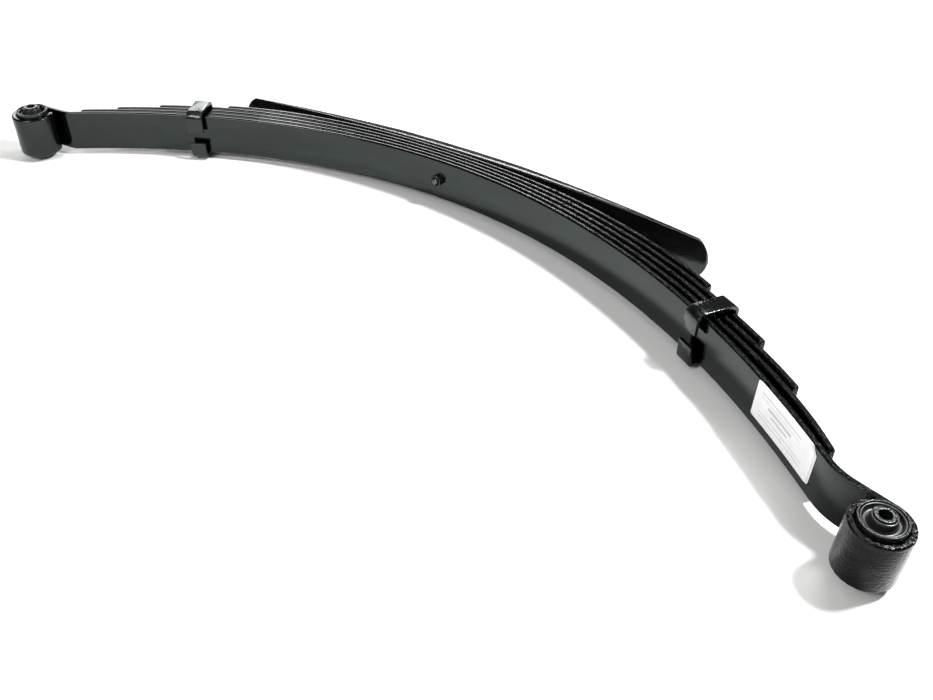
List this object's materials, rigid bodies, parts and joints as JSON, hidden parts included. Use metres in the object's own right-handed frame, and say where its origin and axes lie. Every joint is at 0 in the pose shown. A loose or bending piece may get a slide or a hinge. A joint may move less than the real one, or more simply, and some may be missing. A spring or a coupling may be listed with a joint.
{
  "type": "leaf spring",
  "caption": "Arched steel leaf spring pack with rolled eyes, rubber bushes, rebound clips and a flat overload leaf, for a light truck's rear axle.",
  "frame": {"origin": "bottom centre of the box of the whole spring, lying on its side", "axes": "+X along the spring towards its long rear half, +Y towards the convex side, +Z along the eyes' axes, across the leaves"},
  "size_m": [1.438, 0.4498, 0.0855],
  "materials": {
    "leaf_paint": "satin",
    "overload_paint": "gloss",
    "bolt_steel": "satin",
    "black_oxide": "satin",
    "sleeve_steel": "satin",
    "bush_rubber": "matte",
    "label_film": "satin"
  },
  "bodies": {
    "leaf_pack": {"main_leaf": "leaf_paint", "leaf_2": "leaf_paint", "leaf_3": "leaf_paint", "leaf_4": "leaf_paint", "leaf_5": "leaf_paint", "overload_leaf": "overload_paint", "centre_bolt": "bolt_steel", "centre_bolt_nut": "black_oxide"},
    "front_clip_section": {"front_clip": "leaf_paint", "front_clip_rivet": "leaf_paint"},
    "front_eye_end": {"front_bush_outer_sleeve": "sleeve_steel", "front_bush_rubber": "bush_rubber"},
    "front_eye_sleeve": {"front_bush_inner_sleeve": "sleeve_steel"},
    "rear_clip_section": {"rear_clip": "leaf_paint", "rear_clip_rivet": "leaf_paint"},
    "rear_eye_end": {"rear_bush_outer_sleeve": "sleeve_steel", "rear_bush_rubber": "bush_rubber", "label": "label_film", "label_backing": "label_film"},
    "rear_eye_sleeve": {"rear_bush_inner_sleeve": "sleeve_steel"}
  },
  "joints": [
    {"name": "front_half_flex", "type": "hinge", "parent": "leaf_pack", "child": "front_clip_section", "pos_m": [-0.27192, 0.14719, 0.04275], "axis": [0, 0, -1], "range_deg": [-1.5, 11], "stiffness_Nm_per_rad": 7000, "deforming": ["main_leaf", "leaf_2", "leaf_3", "leaf_4", "leaf_5"]},
    {"name": "front_tip_flex", "type": "hinge", "parent": "front_clip_section", "child": "front_eye_end", "pos_m": [-0.55611, 0.00305, 0.04275], "axis": [0, 0, -1], "range_deg": [-1.5, 11]},
    {"name": "front_bush_twist", "type": "hinge", "parent": "front_eye_end", "child": "front_eye_sleeve", "pos_m": [-0.68685, -0.09414, 0.04275], "axis": [0, 0, 1], "range_deg": [-25, 25], "stiffness_Nm_per_rad": 60},
    {"name": "rear_half_flex", "type": "hinge", "parent": "leaf_pack", "child": "rear_clip_section", "pos_m": [0.19844, 0.13645, 0.04275], "axis": [0, 0, 1], "range_deg": [-1.5, 11], "stiffness_Nm_per_rad": 9000, "deforming": ["main_leaf", "leaf_2", "leaf_3", "leaf_4", "leaf_5"]},
    {"name": "rear_tip_flex", "type": "hinge", "parent": "rear_clip_section", "child": "rear_eye_end", "pos_m": [0.52603, -0.05574, 0.04275], "axis": [0, 0, 1], "range_deg": [-1.5, 11], "deforming": ["label", "label_backing"]},
    {"name": "rear_bush_twist", "type": "hinge", "parent": "rear_eye_end", "child": "rear_eye_sleeve", "pos_m": [0.68685, -0.19269, 0.04275], "axis": [0, 0, 1], "range_deg": [-25, 25], "stiffness_Nm_per_rad": 60}
  ],
  "couplings": [
    {"joint": "front_tip_flex", "follows": "front_half_flex", "ratio": 1},
    {"joint": "rear_tip_flex", "follows": "rear_half_flex", "ratio": 1}
  ]
}
